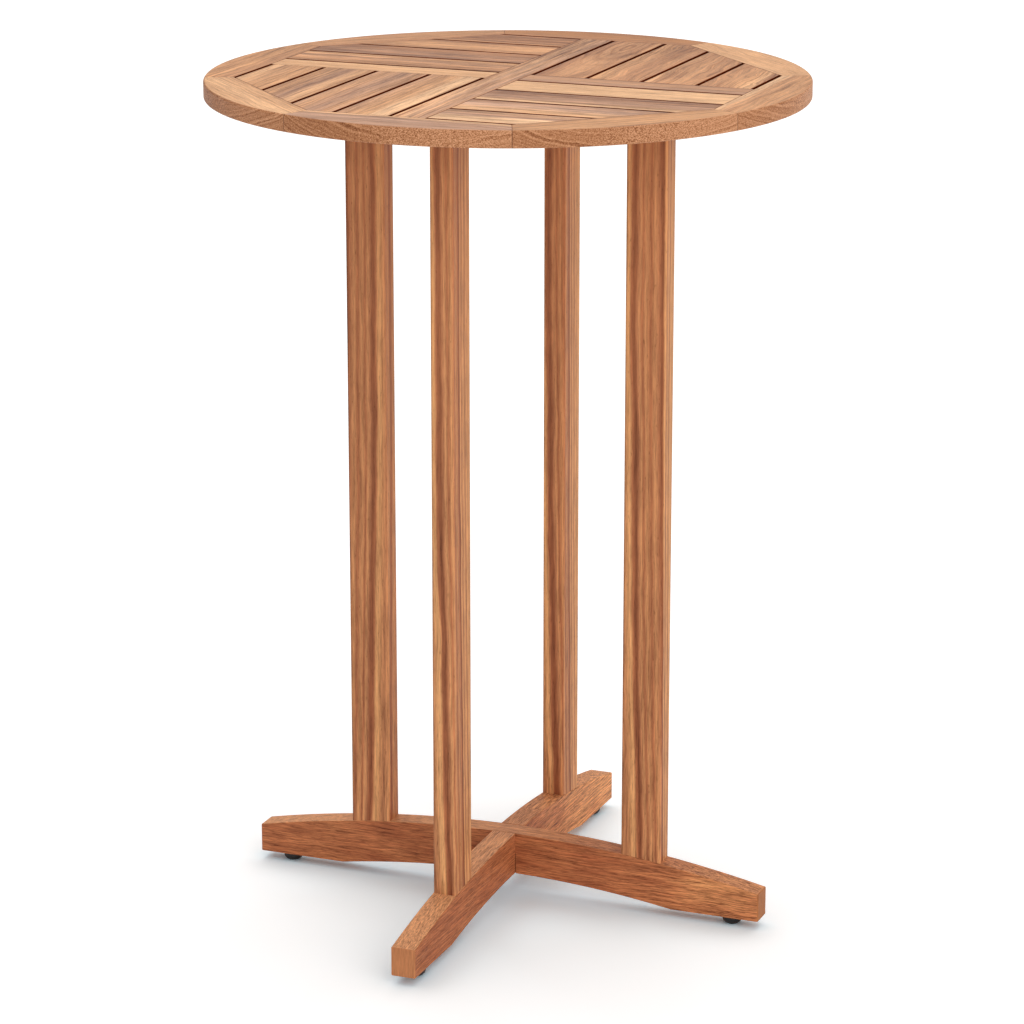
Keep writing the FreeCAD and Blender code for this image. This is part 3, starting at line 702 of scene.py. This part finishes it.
def beam_wood(name, along, across, middle, half_length, seed, golden_and_lit_reach, lean, end):
    """Hardwood that runs from brown at one end to gold at the other, the gold partly the wood's tone and
    partly painted light for the stronger light at that end. The golden and lit reach is where it turns and
    how golden it gets, lean is the painted shade on top towards the far end, and end is the ends' tone."""
    graph = Graph(name)
    gold_from, gold_to, gold = golden_and_lit_reach
    point, (u, v, w) = local_frame(graph, object_place(graph), (0, 0, middle), along, across, Z)
    bent = warp(graph, point, (u, w, v), seed, 9, 5)[0]
    cloud = graph.noise(bent, (0.012, 0.03, 0.03), seed + 8.8)
    patch = graph.noise(bent, (0.006, 0.11, 0.11), seed + 7.7, detail=5.0, roughness=0.70)
    golden_and_lit = graph.remap(u, gold_from, gold_to, smooth=True)
    bands = graph.add(graph.swing(cloud, 0.6), graph.swing(patch, 0.75))
    bands = graph.add(graph.add(bands, 0.47), graph.times(golden_and_lit, gold))
    color = graph.ramp(bands, BEAM_TONES)
    light, rough, height = fine_grain(graph, bent, seed, streaks=0.35, fibres=0.8, clouds=0.1, pores=0.0)
    lines = graph.noise(bent, (0.030, 0.80, 0.80), seed + 9.1, detail=3.0, roughness=0.75)
    dashes = graph.noise(point, (0.075, 0.62, 0.62), seed + 10.4, detail=3.0, roughness=0.7)
    light = graph.add(light, graph.swing(lines, graph.remap(golden_and_lit, 0.0, 1.0, 2.6, 3.8)))
    light = graph.add(light, graph.times(graph.remap(dashes, 0.50, 0.36), -0.34))
    # Painted light: the upward faces get a lighter colour, more so towards the ends, as if lit from above,
    # with a painted sheen where they slope near the ends and painted shade towards the far end
    upward = graph.separate(graph.node("ShaderNodeNewGeometry").outputs["Normal"])[2]
    painted_top_light = graph.remap(upward, 0.55, 0.85, smooth=True)
    color = graph.mix(graph.times(painted_top_light, graph.remap(u, -80, 150, 0.62, 0.20)), color, PAINTED_TOP_LIGHT_COLOR)
    slope = graph.remap(graph.distance(u), 130, 230, -0.06, 0.03, smooth=True)
    light = graph.add(light, graph.times(painted_top_light, graph.add(slope, graph.remap(u, -80, 250, 0.0, lean))))
    # The ends show end grain
    far = graph.remap(graph.distance(u), half_length - 1.6, half_length - 0.5, smooth=True)
    upright = graph.noise(point, (0.2, 0.45, 0.04), seed + 15, detail=3.0, roughness=0.65)
    light = graph.mix(far, light, graph.add(1.0, graph.swing(upright, 1.2)))
    color = graph.mix(far, color, srgb(*end))
    return graph.finish(lit(graph, color, light), rough, height, WOOD_RELIEF, Specular_IOR_Level=FRAME_SHEEN)


# Each beam's gold towards one end is partly painted light
brown_wood = ((60, 310, 0.26), -0.14, (172, 107, 61))
golden_and_lit_wood = ((0, 220, 0.46), -0.15, (193, 126, 82))
beams = {
    "base_beam_x": (X, Y, BEAM_ORIGIN, BEAM_HALF_LENGTH, 21.0, *brown_wood),
    "base_beam_y": (Y, X, BEAM_ORIGIN, BEAM_HALF_LENGTH, 27.0, *golden_and_lit_wood),
    "top_batten_x": (X, Y, BATTEN_MIDDLE, BATTEN_HALF_LENGTH, 33.0, *brown_wood),
    "top_batten_y": (Y, X, BATTEN_MIDDLE, BATTEN_HALF_LENGTH, 38.0, *brown_wood),
}
for name, settings in beams.items():
    assign(name, beam_wood(name, *settings))


# Dowels, metal and plastic

def plain_wood(name):
    graph = Graph(name)
    point = in_millimetres(graph, object_place(graph))
    fibre = graph.noise(point, (0.9, 0.9, 0.9), 3.0, detail=3.0)
    color = graph.ramp(fibre, [(0.3, srgb(196, 160, 118)), (0.7, srgb(226, 196, 152))])
    return graph.finish(color, 0.6, fibre, 0.05)


def plated_metal(name, color_low, color_high):
    graph = Graph(name)
    point = in_millimetres(graph, object_place(graph))
    cloud = graph.noise(point, (0.25, 0.25, 0.25), 2.0, detail=3.0)
    fine = graph.noise(point, (3.0, 3.0, 9.0), 5.0)
    color = graph.ramp(cloud, [(0.3, color_low), (0.7, color_high)])
    rough = graph.add(graph.remap(cloud, 0.3, 0.7, 0.22, 0.38), graph.swing(fine, 0.15))
    return graph.finish(color, rough, fine, 0.02, Metallic=1.0)


def moulded_plastic(name):
    graph = Graph(name)
    point = in_millimetres(graph, object_place(graph))
    cloud = graph.noise(point, (0.12, 0.12, 0.12), 1.0, detail=3.0)
    fine = graph.noise(point, (2.2, 2.2, 2.2), 4.0, detail=3.0)
    color = graph.ramp(cloud, [(0.3, srgb(14, 14, 15)), (0.7, srgb(24, 24, 26))])
    rough = graph.remap(cloud, 0.3, 0.7, 0.28, 0.40)
    return graph.finish(color, rough, fine, 0.05)


dowel_wood = plain_wood("dowel_wood")
zinc = plated_metal("zinc_steel", srgb(176, 180, 186), srgb(214, 217, 221))
yellow_zinc = plated_metal("insert_steel", srgb(178, 160, 112), srgb(214, 196, 146))
black_plastic = moulded_plastic("foot_plastic")
small_parts = {
    "rim_dowels": dowel_wood, "post_base_dowels": dowel_wood, "post_top_dowels": dowel_wood,
    "top_screws": zinc, "base_lap_screws": zinc,
    "post_base_bolts": zinc, "post_base_washers": zinc, "post_base_inserts": yellow_zinc,
    "post_top_bolts": zinc, "post_top_washers": zinc, "post_top_inserts": yellow_zinc,
    "foot_inserts": yellow_zinc,
}
for name, material in small_parts.items():
    assign(name, material)


# Feet: each stem gets its real thread

def thread_radius(level, turn):
    """The thread's radius at a level and a share of a turn, with a chamfer at its top."""
    wave = abs(2 * ((level / THREAD_PITCH - turn) % 1.0) - 1)
    depth = THREAD_DEPTH * min(1.0, max(0.0, (wave - 0.15) / 0.7))
    taper = min(1.0, max(0.0, (STEM_LEVELS[1] - level) / 0.8))
    return STEM_RADIUS - depth - 0.8 * (1 - taper)


def threaded_stem(name, x, y):
    steps = 36
    rows_per_pitch = 8
    low, high = STEM_LEVELS
    rows = int((high - low) / THREAD_PITCH * rows_per_pitch) + 1
    points = []
    for row in range(rows + 1):
        level = low + (high - low) * row / rows
        for step in range(steps):
            angle = 2 * math.pi * step / steps
            radius = thread_radius(level, step / steps)
            place = (x + radius * math.cos(angle), y + radius * math.sin(angle), level)
            points.append([MM * value for value in place])
    faces = []
    for row in range(rows):
        for step in range(steps):
            following = (step + 1) % steps
            base = row * steps
            faces.append((base + step, base + following, base + steps + following, base + steps + step))
    faces.append(tuple(reversed(range(steps))))
    faces.append(tuple(range(rows * steps, (rows + 1) * steps)))
    mesh = bpy.data.meshes.new(name)
    mesh.from_pydata(points, [], faces)
    mesh.materials.append(zinc)
    for face in mesh.polygons[:-2]:
        face.use_smooth = True
    thread = bpy.data.objects.new(name, mesh)
    bpy.context.scene.collection.objects.link(thread)
    return thread


for arm, (side_x, side_y) in arms.items():
    stem = "foot_stem_" + arm
    assign(stem, zinc)
    assign("foot_dome_" + arm, black_plastic)
    thread = threaded_stem("foot_thread_" + arm, side_x * FOOT_OFFSET, side_y * FOOT_OFFSET)
    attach(thread, stem)
    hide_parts(stem)


# Floor, light and background

def floor_material():
    """White where the light reaches it, with a painted neutral grey shadow from ambient occlusion, on top of
    the real one, where the object covers it.
    """
    graph = Graph("floor")
    seen = graph.node("ShaderNodeLightPath").outputs["Is Camera Ray"]
    covered = graph.node("ShaderNodeAmbientOcclusion", {"Distance": SHADOW_REACH}, samples=12).outputs["AO"]
    shade = graph.ramp(covered, FLOOR_TONES)
    scaling = {0: shade, "Scale": FLOOR_BRIGHTNESS}
    bright = graph.node("ShaderNodeVectorMath", scaling, operation="SCALE").outputs[0]
    color = graph.mix(seen, FLOOR_COLOR, bright)
    diffuse = graph.node("ShaderNodeBsdfDiffuse", {"Color": color})
    graph.node("ShaderNodeOutputMaterial", {0: diffuse.outputs[0]})
    return graph.material


bpy.ops.mesh.primitive_plane_add(size=FLOOR_SIZE, location=(0, 0, -FLOOR_DROP))
floor = bpy.context.object
floor.name = "floor"
floor.data.materials.append(floor_material())


def studio_world():
    """A white background that lights the object at a lower level than the camera sees."""
    world = bpy.data.worlds.new("studio")
    world.use_nodes = True
    nodes, links = world.node_tree.nodes, world.node_tree.links
    nodes.clear()
    background = nodes.new("ShaderNodeBackground")
    path = nodes.new("ShaderNodeLightPath")
    level = nodes.new("ShaderNodeMapRange")
    output = nodes.new("ShaderNodeOutputWorld")
    level.inputs["To Min"].default_value = AMBIENT_LIGHT
    level.inputs["To Max"].default_value = 1.0
    background.inputs["Color"].default_value = WHITE
    links.new(path.outputs["Is Camera Ray"], level.inputs[0])
    links.new(level.outputs[0], background.inputs["Strength"])
    links.new(background.outputs[0], output.inputs[0])
    return world


def soft_sun(name, direction, strength, angle):
    """A very soft distant light that shines from a direction."""
    light = bpy.data.lights.new(name, "SUN")
    light.energy = strength
    light.angle = math.radians(angle)
    lamp = bpy.data.objects.new(name, light)
    lamp.rotation_euler = Vector(direction).to_track_quat("Z", "Y").to_euler()
    bpy.context.scene.collection.objects.link(lamp)


bpy.context.scene.world = studio_world()
soft_sun("overhead", (-0.15, 0.35, 1.0), strength=1.35, angle=70)
soft_sun("right_fill", (0.90, -0.78, 0.50), strength=1.05, angle=60)

# Camera

camera_data = bpy.data.cameras.new("camera")
camera_data.sensor_width = 36
camera_data.lens = LENS
camera_data.clip_end = 100
camera = bpy.data.objects.new("camera", camera_data)
camera.location = CAMERA_PLACE
camera.rotation_euler = (math.radians(90 - CAMERA_TILT), 0, math.radians(CAMERA_TURN))
bpy.context.scene.collection.objects.link(camera)
bpy.context.scene.camera = camera
bpy.context.scene.view_settings.view_transform = "Standard"
